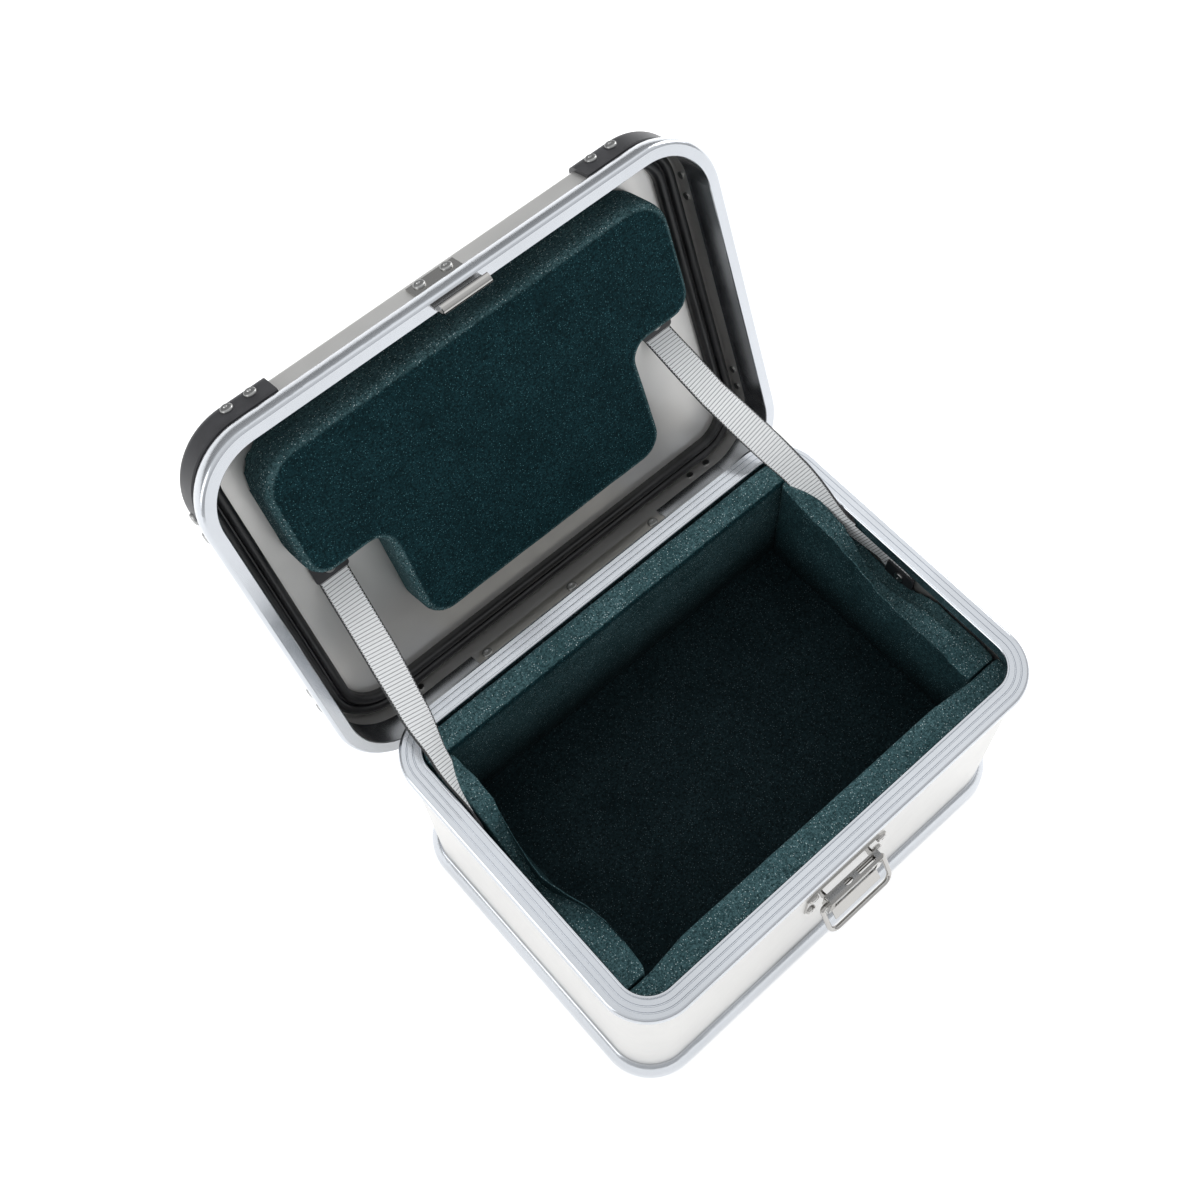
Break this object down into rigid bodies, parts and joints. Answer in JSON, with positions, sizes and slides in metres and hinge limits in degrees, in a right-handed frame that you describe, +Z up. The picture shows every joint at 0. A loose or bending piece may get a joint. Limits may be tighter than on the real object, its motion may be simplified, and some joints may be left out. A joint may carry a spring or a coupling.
{
  "type": "battery case",
  "caption": "Rounded aluminium battery case with a foam-lined base, a hinged cap lid with corner guards, side straps and a lever latch.",
  "frame": {"origin": "middle of the base's flat bottom face, z = 0 on the surface the case stands on", "axes": "+X runs along the hinge to the right as seen from the front, -Y is the front with the latch, +Z is up; the lid is drawn open"},
  "size_m": [0.3888, 0.4107, 0.4089],
  "materials": {
    "sheet_aluminium": "satin",
    "frame_aluminium": "satin extruded",
    "green_foam": "open-cell foam, dark green, speckled",
    "guard_plastic": "fine grained, black",
    "seal_rubber": "smooth, black",
    "strap_webbing": "woven webbing, light grey",
    "latch_chrome": "polished",
    "hinge_steel": "zinc plated",
    "rivet_steel": "domed, smooth"
  },
  "bodies": {
    "base": {"base_shell": "sheet_aluminium", "base_top_frame": "frame_aluminium", "base_bottom_frame": "frame_aluminium", "base_frame_joint": "frame_aluminium", "foam_floor": "green_foam", "foam_front": "green_foam", "foam_back": "green_foam", "foam_left": "green_foam", "foam_right": "green_foam", "strap_base_plates": "guard_plastic", "strap_base_rivets": "rivet_steel", "strap_left": "strap_webbing", "strap_right": "strap_webbing", "latch_plate": "latch_chrome", "latch_rivets": "latch_chrome", "hinge_base_leaf": "hinge_steel", "hinge_base_rivets": "rivet_steel", "hinge_pin": "hinge_steel"},
    "lid": {"lid_shell": "sheet_aluminium", "lid_frame": "frame_aluminium", "lid_seal": "seal_rubber", "lid_foam": "green_foam", "corner_guard_front_left": "guard_plastic", "corner_guard_front_right": "guard_plastic", "corner_guard_back_left": "guard_plastic", "corner_guard_back_right": "guard_plastic", "corner_guard_rivets": "rivet_steel", "catch_plate": "latch_chrome", "catch_rivets": "rivet_steel", "hinge_lid_leaf": "hinge_steel", "hinge_lid_rivets": "rivet_steel", "strap_lid_plates": "guard_plastic", "strap_lid_rivets": "rivet_steel"},
    "lever": {"latch_lever": "latch_chrome"},
    "bail": {"latch_bail": "latch_chrome"}
  },
  "joints": [
    {"name": "lid_hinge", "type": "hinge", "parent": "base", "child": "lid", "pos_m": [0, 0.13045, 0.15075], "axis": [1, 0, 0], "range_deg": [0, 110.2], "deforming": ["strap_left", "strap_right"]},
    {"name": "lever_pivot", "type": "hinge", "parent": "base", "child": "lever", "pos_m": [0, -0.131, 0.129], "axis": [-1, 0, 0], "range_deg": [0, 35]},
    {"name": "bail_pivot", "type": "hinge", "parent": "lever", "child": "bail", "pos_m": [0, -0.1325, 0.121], "axis": [-1, 0, 0], "range_deg": [0, 137.02]}
  ]
}
